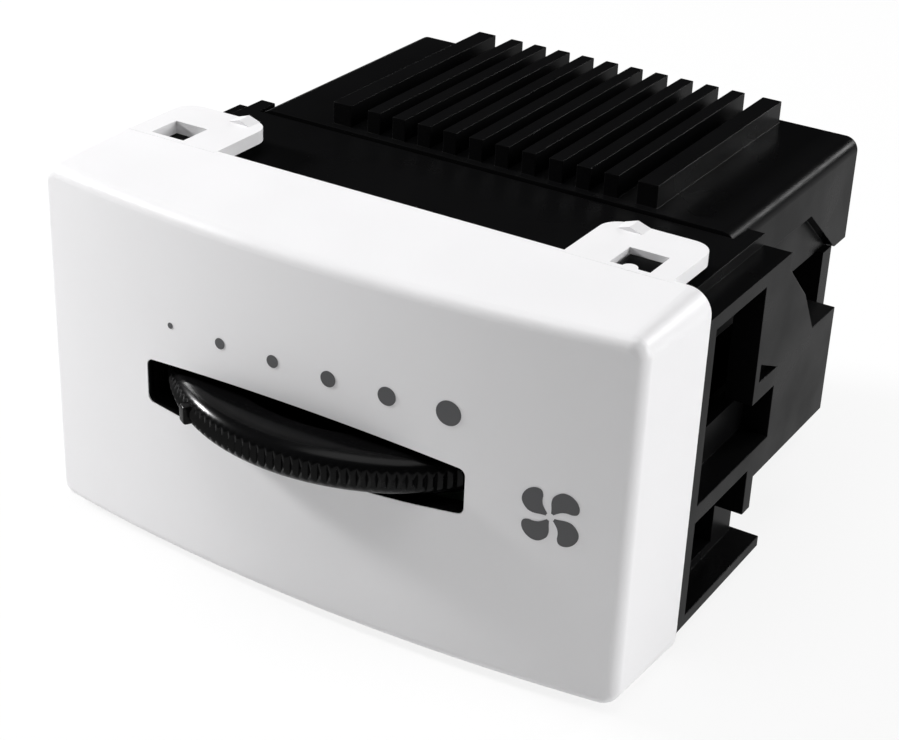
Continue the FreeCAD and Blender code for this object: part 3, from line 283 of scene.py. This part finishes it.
def print_film(piece, thickness):
    """Weld the points that meet at a mark's poles and give its sheet a thickness towards the panel. Flat
    shading keeps the film's rim from tinting the mark."""
    weld(piece.data, reach=0.0001 * MM)
    film = piece.modifiers.new("ink_film", "SOLIDIFY")
    film.thickness = thickness
    film.offset = -1.0
    piece.data.shade_flat()


def softened_copy(node, name, width):
    """Copy of a solid whose triangles are joined into plain faces and whose sharp edges are rounded, with
    the normals weighed by face area so that large flats stay flat."""
    mesh = frame["nodes"][node].data.copy()
    mesh.name = name
    weld(mesh, reach=0.001 * MM, plain=math.radians(0.5))
    mesh.shade_smooth()
    piece = bpy.data.objects.new(name, mesh)
    bpy.context.scene.collection.objects.link(piece)
    edge = piece.modifiers.new("soft_edge", "BEVEL")
    edge.width = width
    edge.segments = 2
    edge.limit_method = "ANGLE"
    edge.angle_limit = math.radians(28)
    flats = piece.modifiers.new("plain_flats", "WEIGHTED_NORMAL")
    flats.weight = 100
    return piece


def grain_group():
    """Shader group: fine grain as height, and slow patches as roughness and as a tone about one."""
    name = "mould_grain"
    if name in bpy.data.node_groups:
        return bpy.data.node_groups[name]
    group = bpy.data.node_groups.new(name, "ShaderNodeTree")
    usual = {"Fineness": 9000.0, "Least Roughness": 0.35, "Most Roughness": 0.5,
             "Least Tone": 0.95, "Most Tone": 1.05}
    for label, amount in usual.items():
        socket = group.interface.new_socket(label, in_out="INPUT", socket_type="NodeSocketFloat")
        socket.default_value = amount
    for label in ("Height", "Roughness", "Tone"):
        group.interface.new_socket(label, in_out="OUTPUT", socket_type="NodeSocketFloat")
    nodes, links = group.nodes, group.links
    given = nodes.new("NodeGroupInput")
    put_out = nodes.new("NodeGroupOutput")
    place = nodes.new("ShaderNodeTexCoord")
    grain = nodes.new("ShaderNodeTexNoise")
    grain.inputs["Detail"].default_value = 2.0
    patches = nodes.new("ShaderNodeTexNoise")
    patches.inputs["Scale"].default_value = 180.0
    patches.inputs["Detail"].default_value = 3.0
    links.new(place.outputs["Object"], grain.inputs["Vector"])
    links.new(place.outputs["Object"], patches.inputs["Vector"])
    links.new(given.outputs["Fineness"], grain.inputs["Scale"])
    links.new(grain.outputs["Fac"], put_out.inputs["Height"])
    for label in ("Roughness", "Tone"):
        spread = nodes.new("ShaderNodeMapRange")
        spread.inputs["From Min"].default_value = 0.35
        spread.inputs["From Max"].default_value = 0.65
        links.new(patches.outputs["Fac"], spread.inputs["Value"])
        links.new(given.outputs["Least " + label], spread.inputs["To Min"])
        links.new(given.outputs["Most " + label], spread.inputs["To Max"])
        links.new(spread.outputs["Result"], put_out.inputs[label])
    return group


def grained_finish(name, colour, roughness, grain, ior=1.5, metallic=0.0, stray=0.05):
    """Finish with a fine grain: roughness is a pair of limits, grain the bump's height in metres and stray
    the share by which the tone goes up and down."""
    material = bpy.data.materials.new(name)
    material.use_nodes = True
    nodes, links = material.node_tree.nodes, material.node_tree.links
    shader = nodes["Principled BSDF"]
    shader.inputs["IOR"].default_value = ior
    shader.inputs["Metallic"].default_value = metallic
    surface = nodes.new("ShaderNodeGroup")
    surface.node_tree = grain_group()
    surface.inputs["Least Roughness"].default_value = roughness[0]
    surface.inputs["Most Roughness"].default_value = roughness[1]
    surface.inputs["Least Tone"].default_value = 1 - stray
    surface.inputs["Most Tone"].default_value = 1 + stray
    toned = nodes.new("ShaderNodeHueSaturation")
    toned.name = "toned"
    toned.inputs["Color"].default_value = (*colour, 1.0)
    bump = nodes.new("ShaderNodeBump")
    bump.name = "relief"
    bump.inputs["Strength"].default_value = 0.6
    bump.inputs["Distance"].default_value = grain
    links.new(surface.outputs["Tone"], toned.inputs["Value"])
    links.new(toned.outputs["Color"], shader.inputs["Base Color"])
    links.new(surface.outputs["Height"], bump.inputs["Height"])
    links.new(surface.outputs["Roughness"], shader.inputs["Roughness"])
    links.new(bump.outputs["Normal"], shader.inputs["Normal"])
    return material


def worked_metal(name, colour, roughness):
    """Metal with a fine worked grain about one roughness."""
    return grained_finish(name, colour, (roughness - 0.06, roughness + 0.08), 0.0015 * MM, metallic=1.0)


def wind(material, node, turns, wire):
    """Lay the turns of a wire round a ring that stands about a Y axis: the height is the sine of the angle
    about the ring's middle, times the number of turns."""
    nodes, links = material.node_tree.nodes, material.node_tree.links
    low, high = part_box(node)
    place = nodes.new("ShaderNodeTexCoord")
    centred = nodes.new("ShaderNodeMapping")
    centred.vector_type = "TEXTURE"
    centred.inputs["Location"].default_value = (low + high) / 2
    centred.inputs["Rotation"].default_value = (math.pi / 2, 0.0, 0.0)
    angle = nodes.new("ShaderNodeTexGradient")
    angle.gradient_type = "RADIAL"
    many = nodes.new("ShaderNodeMath")
    many.operation = "MULTIPLY"
    many.inputs[1].default_value = 2 * math.pi * turns
    wave = nodes.new("ShaderNodeMath")
    wave.operation = "SINE"
    relief = nodes["relief"]
    relief.inputs["Strength"].default_value = 1.0
    relief.inputs["Distance"].default_value = wire / 4
    links.new(place.outputs["Object"], centred.inputs["Vector"])
    links.new(centred.outputs["Vector"], angle.inputs["Vector"])
    links.new(angle.outputs["Fac"], many.inputs[0])
    links.new(many.outputs[0], wave.inputs[0])
    links.new(wave.outputs[0], relief.inputs["Height"])


def band(material, node, bands):
    """Paint rings of colour on a rod that lies along X: hard steps over the rod's length, each band given
    as the share of the length where it starts and its colour."""
    nodes, links = material.node_tree.nodes, material.node_tree.links
    low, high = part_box(node)
    place = nodes.new("ShaderNodeTexCoord")
    split = nodes.new("ShaderNodeSeparateXYZ")
    share = nodes.new("ShaderNodeMapRange")
    share.inputs["From Min"].default_value = low.x
    share.inputs["From Max"].default_value = high.x
    steps = nodes.new("ShaderNodeValToRGB")
    steps.color_ramp.interpolation = "CONSTANT"
    marks = steps.color_ramp.elements
    for step, (start, colour) in enumerate(bands):
        mark = marks[step] if step < 2 else marks.new(start)
        mark.position = start
        mark.color = (*colour, 1.0)
    links.new(place.outputs["Object"], split.inputs["Vector"])
    links.new(split.outputs["X"], share.inputs["Value"])
    links.new(share.outputs["Result"], steps.inputs["Fac"])
    links.new(steps.outputs["Color"], nodes["toned"].inputs["Color"])


def bow_radius():
    """Radius of the panel's front in plan: half the width squared plus the bow squared, over twice
    the bow."""
    return (PANEL_HIGH.x ** 2 + PANEL_BOW ** 2) / (2 * PANEL_BOW)


def on_panel(across, up, film):
    """Points on the panel's bowed front: the front is an arc in plan, so its depth follows from the place
    across."""
    radius = bow_radius()
    depth = PANEL_LOW.y + radius - np.sqrt(radius ** 2 - across ** 2) - film
    return np.stack([across, depth, up], axis=-1)


class FANSWITCH_OT_panel(bpy.types.Operator):
    """Finish the white front panel."""

    bl_idname = "fan_switch.panel"
    bl_label = "Front panel"

    def execute(self, context):
        finish = context.scene.fan_switch_finish
        white = grained_finish("panel_white", finish.panel_colour, (0.32, 0.42), 0.004 * MM, stray=0.004)
        paint(white, "front_panel")
        return {"FINISHED"}


class FANSWITCH_OT_housing(bpy.types.Operator):
    """Round the edges of the black mouldings and finish them."""

    bl_idname = "fan_switch.housing"
    bl_label = "Black housing"

    def execute(self, context):
        finish = context.scene.fan_switch_finish
        black = grained_finish("housing_black", finish.housing_colour, (0.26, 0.38), 0.004 * MM, ior=1.1)
        for node in ("chassis_frame", "base_tray", "finned_cover", "wheel_bezel"):
            piece = softened_copy(node, node + "_moulding", finish.soft_edge)
            dress(piece, black, "housing")
            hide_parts(node)
        lining = slot_lining(context.scene.fan_switch_slot)
        dress(lining, black, "housing")
        return {"FINISHED"}


def slot_lining(slot):
    """Thin black sleeve inside the slot. Half height at a share s of the half length, from -1 to 1:
    h = end/2 + rise*(1 - s^2), cut to a quarter circle of the corner's radius at both ends."""
    share = np.sin(np.linspace(-np.pi / 2, np.pi / 2, 121))
    half = slot.length / 2 - slot.inset
    across = half * share
    to_end = np.clip(slot.corner - (half - np.abs(across)), 0, slot.corner)
    rounding = slot.corner - np.sqrt(slot.corner ** 2 - to_end ** 2)
    high = slot.end_height / 2 + slot.rise * (1 - share ** 2) - slot.inset - rounding
    ring_x = slot.middle + np.concatenate([across, across[::-1]])
    ring_z = np.concatenate([high, -high[::-1]])
    outward = slot.wall * np.stack([np.sign(ring_x - slot.middle), np.sign(ring_z)])
    front, rear = on_panel(ring_x, ring_z, -slot.sunk), on_panel(ring_x, ring_z, -slot.depth)
    wall = np.stack([outward[0], np.zeros_like(ring_x), outward[1]], axis=-1)
    rows = np.stack([front, rear, rear + wall, front + wall])
    faces = grid_faces(len(rows), ring_x.size, wrap=True, closed=True)[:, ::-1]
    return new_piece("slot_lining", rows, faces.tolist())


class FANSWITCH_OT_wheel(bpy.types.Operator):
    """Turn the knurled thumbwheel with its index rib and finish it."""

    bl_idname = "fan_switch.wheel"
    bl_label = "Thumbwheel"

    def execute(self, context):
        look = context.scene.fan_switch_wheel
        gloss = grained_finish("wheel_black", look.colour, (0.17, 0.22), 0.001 * MM, ior=1.17)
        rim = knurled_wheel(look)
        dress(rim, gloss, "thumbwheel")
        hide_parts("thumbwheel")
        rib = index_rib(look)
        dress(rib, gloss, "thumbwheel")
        return {"FINISHED"}


def wheel_section(look):
    """Half section of the wheel as a closed line of (radius, height): bore, hub, web, rim and the round
    shoulders, each a quarter circle from the rim's face to the teeth."""
    half, web = (WHEEL_HIGH.z - WHEEL_LOW.z) / 2, look.web / 2
    inner = look.radius - look.groove - look.rim_width
    arc = np.linspace(0, np.pi / 2, 15)
    shoulder = np.stack([look.radius - look.shoulder + look.shoulder * np.sin(arc),
                         half - look.shoulder + look.shoulder * np.cos(arc)], axis=-1)
    upper = np.concatenate([
        [(look.bore, 0.0), (look.bore, half), (look.hub_radius, half), (look.hub_radius, web), (inner, web),
         (inner, half)], shoulder])
    lower = upper[:0:-1] * (1, -1)
    return np.concatenate([upper, lower])


def knurled_wheel(look):
    """Section turned about the wheel's axis; outside, the radius is the smaller of the section's and the
    zigzag of the teeth, so that each groove runs out in a point on the round shoulder."""
    section = wheel_section(look)
    columns = 4 * look.teeth
    turn = np.linspace(0, 2 * np.pi, columns, endpoint=False)
    zigzag = look.radius - look.groove * np.abs(1 - 2 * ((turn * look.teeth / (2 * np.pi)) % 1))
    radius = np.minimum(section[:, :1], zigzag)
    in_bore = section[:, :1] <= look.bore
    flat = np.where(np.cos(turn) > 0, look.bore_flat / np.maximum(np.cos(turn), 1e-6), look.bore)
    radius = np.where(in_bore, np.minimum(radius, flat), radius)
    height = np.broadcast_to(section[:, 1:], radius.shape)
    points = np.stack([AXIS.x + radius * np.cos(turn), AXIS.y + radius * np.sin(turn),
                       AXIS.z + height], axis=-1)
    faces = grid_faces(len(section), columns, wrap=True, closed=True)[:, ::-1]
    rim = new_piece("knurled_wheel", points, faces.tolist())
    rim.data.set_sharp_from_angle(angle=math.radians(32))
    return rim


def index_rib(look):
    """Small block with round edges on the rim: a superellipsoid of the eighth power, squared up to the
    rib's width, depth and height and turned to the index angle."""
    rows, columns, power = 25, 48, 0.25
    tilt, turn = np.meshgrid(np.linspace(-np.pi / 2, np.pi / 2, rows),
                             np.linspace(0, 2 * np.pi, columns, endpoint=False), indexing="ij")

    def squared(wave):
        return np.sign(wave) * np.abs(wave) ** power

    depth = look.index_stand + look.index_root
    out = look.radius - look.index_root + depth / 2 * (1 + squared(np.cos(tilt)) * squared(np.cos(turn)))
    wide = look.index_width / 2 * squared(np.cos(tilt)) * squared(np.sin(turn))
    high = look.index_height / 2 * squared(np.sin(tilt))
    lead = -np.pi / 2 - look.index_angle
    x = AXIS.x + out * np.cos(lead) - wide * np.sin(lead)
    y = AXIS.y + out * np.sin(lead) + wide * np.cos(lead)
    points = np.stack([x, y, AXIS.z + high], axis=-1)
    body = points[1:-1].reshape(-1, 3)
    poles = points[[0, -1], 0]
    ring = np.arange(columns)
    after = (ring + 1) % columns
    last = (rows - 3) * columns
    south, north = len(body), len(body) + 1
    faces = grid_faces(rows - 2, columns, wrap=True).tolist()
    faces += np.stack([np.full(columns, south), after, ring], axis=-1).tolist()
    faces += np.stack([np.full(columns, north), last + ring, last + after], axis=-1).tolist()
    return new_piece("wheel_index", np.concatenate([body, poles]), faces)


class FANSWITCH_OT_marks(bpy.types.Operator):
    """Print the growing dots and the fan icon on the panel."""

    bl_idname = "fan_switch.marks"
    bl_label = "Printed marks"

    def execute(self, context):
        marks = context.scene.fan_switch_marks
        ink = grained_finish("ink_grey", marks.colour, (0.45, 0.55), 0.001 * MM)
        dots = dot_row(marks)
        print_film(dots, marks.film)
        dress(dots, ink, "housing")
        icon = fan_icon(marks)
        print_film(icon, marks.film)
        dress(icon, ink, "housing")
        return {"FINISHED"}


def disc_faces(rings, spokes):
    """Faces of a disc: a fan of triangles round the middle point, number 0, then rings of quads."""
    spoke = np.arange(spokes)
    fan = np.stack([np.zeros(spokes, int), 1 + spoke, 1 + (spoke + 1) % spokes], axis=-1)
    return fan.tolist() + (1 + grid_faces(rings, spokes, wrap=True)[:, ::-1]).tolist()


def dot_row(marks):
    """Row of round dots: a middle point and rings at shares of each dot's radius, laid on the bowed front."""
    rings, spokes = 3, 40
    share, turn = np.meshgrid(np.linspace(1 / rings, 1, rings),
                              np.linspace(0, 2 * np.pi, spokes, endpoint=False), indexing="ij")
    round_x = np.append(0.0, share * np.cos(turn))
    round_z = np.append(0.0, share * np.sin(turn))
    radii = np.array(marks.dot_sizes)[:, None] / 2
    number = np.arange(len(marks.dot_sizes))[:, None]
    across = marks.first_dot + marks.dot_pitch * number + radii * round_x
    up = marks.dot_level + marks.dot_climb * number + radii * round_z
    points = on_panel(across, up, marks.film)
    faces = [[corner + dot * round_x.size for corner in face]
             for dot in range(len(radii)) for face in disc_faces(rings, spokes)]
    return new_piece("speed_dots", points, faces)


def fan_icon(marks):
    """Four leaf-shaped blades in polar form: the middle line leans back towards the tip, the half angle
    grows from the root and closes like a superellipse at the tip."""
    steps, strips, blades = 40, 13, 4
    # Along the blade, as shares of the icon's radius
    root, lean_start, lean_length, widest = 0.13, 0.35, 0.55, 0.65
    # Across it: where the blade points, how far it leans back, and its half angle at the root and added to it
    heading, lean_back, root_spread, more_spread = np.radians((62, 15, 13, 20))
    growth, tip_power = 0.8, 6
    along, side = np.meshgrid(np.sin(np.linspace(0, np.pi / 2, steps)), np.linspace(-1, 1, strips),
                              indexing="ij")
    share = root + (1 - root) * along
    lean = np.clip((share - lean_start) / lean_length, 0, 1)
    middle = heading - lean_back * lean * lean * (3 - 2 * lean)
    grown = root_spread + more_spread * np.clip(share / widest, 0, 1) ** growth
    turn = middle + side * grown * np.sqrt(np.clip(1 - share ** tip_power, 0, 1))
    angle = turn[None] + (np.arange(blades) * np.pi / 2)[:, None, None]
    across = marks.icon_across + marks.icon_radius * share * np.cos(angle)
    up = marks.icon_level + marks.icon_radius * share * np.sin(angle)
    points = on_panel(across, up, marks.film)
    quads = grid_faces(steps, strips)[:, ::-1]
    faces = (quads[None] + (np.arange(blades) * steps * strips)[:, None, None]).reshape(-1, 4)
    return new_piece("fan_icon", points, faces.tolist())


class FANSWITCH_OT_regulator(bpy.types.Operator):
    """Finish the regulator, the circuit board and its pieces."""

    bl_idname = "fan_switch.regulator"
    bl_label = "Regulator and board"

    def execute(self, context):
        dark = grained_finish("thermoset_dark", (0.02, 0.02, 0.022), (0.4, 0.5), 0.003 * MM)
        paint(dark, "potentiometer_case", "potentiometer_lid", "wheel_spindle", "triac")
        paint(grained_finish("carbon_print", (0.01, 0.01, 0.01), (0.6, 0.7), 0.002 * MM), "resistive_track")
        paint(grained_finish("board_laminate", (0.012, 0.035, 0.016), (0.45, 0.6), 0.004 * MM),
              "circuit_board")
        paint(grained_finish("ferrite_grey", (0.03, 0.03, 0.033), (0.55, 0.7), 0.006 * MM), "choke_core")
        paint(grained_finish("dipped_case", (0.55, 0.33, 0.04), (0.2, 0.3), 0.002 * MM),
              "film_capacitor", "timing_capacitor")
        coat, brown = (0.52, 0.38, 0.20), (0.08, 0.03, 0.015)
        red, gold = (0.45, 0.02, 0.015), (0.45, 0.30, 0.06)
        rings = ((0.0, coat), (0.2, brown), (0.27, coat), (0.36, red), (0.43, coat), (0.52, brown),
                 (0.59, coat), (0.72, gold), (0.79, coat))
        for node in ("series_resistor", "snubber_resistor"):
            lacquer = grained_finish(node + "_coat", coat, (0.3, 0.4), 0.002 * MM)
            band(lacquer, node, rings)
            paint(lacquer, node)
        blue, black = (0.03, 0.07, 0.22), (0.01, 0.01, 0.01)
        glass = grained_finish("diode_blue", blue, (0.15, 0.25), 0.001 * MM)
        band(glass, "trigger_diode", ((0.0, blue), (0.66, black), (0.8, blue)))
        paint(glass, "trigger_diode")
        white, cap = (0.70, 0.67, 0.60), (0.55, 0.55, 0.54)
        tube = grained_finish("fuse_ceramic", white, (0.2, 0.3), 0.001 * MM)
        band(tube, "fuse_link", ((0.0, cap), (0.17, white), (0.83, cap)))
        paint(tube, "fuse_link")
        paint(worked_metal("sink_aluminium", (0.72, 0.72, 0.73), 0.38), "heat_sink")
        copper = worked_metal("copper_wire", (0.62, 0.26, 0.12), 0.3)
        wind(copper, "choke_winding", turns=36, wire=0.6 * MM)
        paint(copper, "choke_winding")
        paint(worked_metal("spring_brass", (0.68, 0.46, 0.18), 0.28), "wiper")
        return {"FINISHED"}


class FANSWITCH_OT_terminals(bpy.types.Operator):
    """Finish the clamp terminals and the screws."""

    bl_idname = "fan_switch.terminals"
    bl_label = "Terminals and screws"

    def execute(self, context):
        zinc = worked_metal("zinc_plate", (0.62, 0.62, 0.60), 0.32)
        brass = worked_metal("terminal_brass", (0.70, 0.48, 0.20), 0.3)
        for hand in ("right", "left"):
            paint(zinc, f"clamp_cage_{hand}", f"terminal_screw_{hand}", f"cover_screw_{hand}")
            paint(brass, f"contact_strip_{hand}")
        paint(zinc, "triac_screw")
        return {"FINISHED"}


class FANSWITCH_OT_studio(bpy.types.Operator):
    """Set the floor, the lamps, the room's light and the camera."""

    bl_idname = "fan_switch.studio"
    bl_label = "Studio"

    def execute(self, context):
        studio = context.scene.fan_switch_studio
        lay_floor(studio)
        light_room(studio)
        for name, (place, target, size, power) in LAMPS.items():
            hang_lamp(name, place, target, size, getattr(studio, power))
        aim_camera(studio)
        context.scene.view_settings.view_transform = "Standard"
        return {"FINISHED"}


def seen_directly(nodes, links):
    """Value that is one for rays from the camera, a mirror or glass, and nothing for lighting rays."""
    path = nodes.new("ShaderNodeLightPath")
    first = nodes.new("ShaderNodeMath")
    first.operation = "MAXIMUM"
    second = nodes.new("ShaderNodeMath")
    second.operation = "MAXIMUM"
    links.new(path.outputs["Is Camera Ray"], first.inputs[0])
    links.new(path.outputs["Is Glossy Ray"], first.inputs[1])
    links.new(first.outputs[0], second.inputs[0])
    links.new(path.outputs["Is Transmission Ray"], second.inputs[1])
    return second.outputs[0]


def lay_floor(studio):
    """Wide pale floor that keeps a soft shadow and reads almost white."""
    reach, gap = 3.0, 0.05 * MM
    ends = np.array((-reach, reach))
    across, deep = np.meshgrid(ends, ends, indexing="ij")
    points = np.stack([across, deep, np.full_like(across, LOWEST - gap)], axis=-1)
    floor = new_piece("studio_floor", points, grid_faces(2, 2)[:, ::-1].tolist())
    material = bpy.data.materials.new("floor_pale")
    material.use_nodes = True
    nodes, links = material.node_tree.nodes, material.node_tree.links
    nodes.clear()
    put_out = nodes.new("ShaderNodeOutputMaterial")
    matt = nodes.new("ShaderNodeBsdfDiffuse")
    matt.inputs["Color"].default_value = (*studio.floor_colour, 1.0)
    glow = nodes.new("ShaderNodeEmission")
    mixed = nodes.new("ShaderNodeMixShader")
    share_of_glow = nodes.new("ShaderNodeMath")
    share_of_glow.operation = "MULTIPLY"
    share_of_glow.inputs[1].default_value = studio.floor_glow
    links.new(seen_directly(nodes, links), share_of_glow.inputs[0])
    links.new(share_of_glow.outputs[0], mixed.inputs["Fac"])
    links.new(matt.outputs[0], mixed.inputs[1])
    links.new(glow.outputs[0], mixed.inputs[2])
    links.new(mixed.outputs[0], put_out.inputs["Surface"])
    floor.data.materials.append(material)


def light_room(studio):
    """Dim even light of the room; the floor gives the white ground behind the object."""
    world = bpy.data.worlds.new("dim_room")
    world.use_nodes = True
    bpy.context.scene.world = world
    room = world.node_tree.nodes["Background"]
    room.inputs["Color"].default_value = (1.0, 1.0, 1.0, 1.0)
    room.inputs["Strength"].default_value = studio.room_light


def hang_lamp(name, place, target, size, power):
    """Square soft lamp at a place, turned towards a target."""
    lamp = bpy.data.lights.new(name, "AREA")
    lamp.shape = "SQUARE"
    lamp.size = size
    lamp.energy = power
    item = bpy.data.objects.new(name, lamp)
    bpy.context.scene.collection.objects.link(item)
    item.location = place
    toward = Vector(target) - Vector(place)
    item.rotation_euler = toward.to_track_quat("-Z", "Y").to_euler()


def aim_camera(studio):
    """Camera fitted to the photograph: where it stands and the directions of its right, up and back."""
    right = (0.8476170863, 0.5293003765, 0.0372342103)
    up = (-0.2757083769, 0.3793870443, 0.8832045978)
    back = (0.4533543491, -0.7588850915, 0.4675074888)
    place = (62.13 * MM, -95.73 * MM, 61.33 * MM)
    lens = bpy.data.cameras.new("photo_camera")
    lens.sensor_width = 36.0
    lens.lens = studio.lens
    lens.clip_start = 0.005
    lens.clip_end = 20.0
    camera = bpy.data.objects.new("photo_camera", lens)
    bpy.context.scene.collection.objects.link(camera)
    camera.matrix_world = Matrix((
        (right[0], up[0], back[0], place[0]),
        (right[1], up[1], back[1], place[1]),
        (right[2], up[2], back[2], place[2]),
        (0.0, 0.0, 0.0, 1.0)))
    bpy.context.scene.camera = camera


class FANSWITCH_PT_sidebar(bpy.types.Panel):
    """Lists the steps that dress the switch."""

    bl_idname = "FANSWITCH_PT_sidebar"
    bl_label = "Fan speed control"
    bl_space_type = "VIEW_3D"
    bl_region_type = "UI"
    bl_category = "Fan switch"

    def draw(self, context):
        for operator in OPERATORS:
            self.layout.operator(operator.bl_idname)


GROUPS = {
    "fan_switch_marks": PrintedMarks,
    "fan_switch_slot": SlotLook,
    "fan_switch_wheel": WheelLook,
    "fan_switch_finish": MouldedFinish,
    "fan_switch_studio": StudioSetup,
}
OPERATORS = (
    FANSWITCH_OT_panel,
    FANSWITCH_OT_housing,
    FANSWITCH_OT_wheel,
    FANSWITCH_OT_marks,
    FANSWITCH_OT_regulator,
    FANSWITCH_OT_terminals,
    FANSWITCH_OT_studio,
)


def register():
    """Add the property groups, the operators and the panel."""
    for name, group in GROUPS.items():
        bpy.utils.register_class(group)
        setattr(bpy.types.Scene, name, bpy.props.PointerProperty(type=group))
    for item in (*OPERATORS, FANSWITCH_PT_sidebar):
        bpy.utils.register_class(item)


def unregister():
    """Take the panel, the operators and the property groups away again."""
    for item in (FANSWITCH_PT_sidebar, *reversed(OPERATORS)):
        bpy.utils.unregister_class(item)
    for name, group in reversed(GROUPS.items()):
        delattr(bpy.types.Scene, name)
        bpy.utils.unregister_class(group)


def main():
    """Dress the switch step by step."""
    register()
    bpy.ops.fan_switch.panel()
    bpy.ops.fan_switch.housing()
    bpy.ops.fan_switch.wheel()
    bpy.ops.fan_switch.marks()
    bpy.ops.fan_switch.regulator()
    bpy.ops.fan_switch.terminals()
    bpy.ops.fan_switch.studio()


if __name__ == "__main__":
    main()
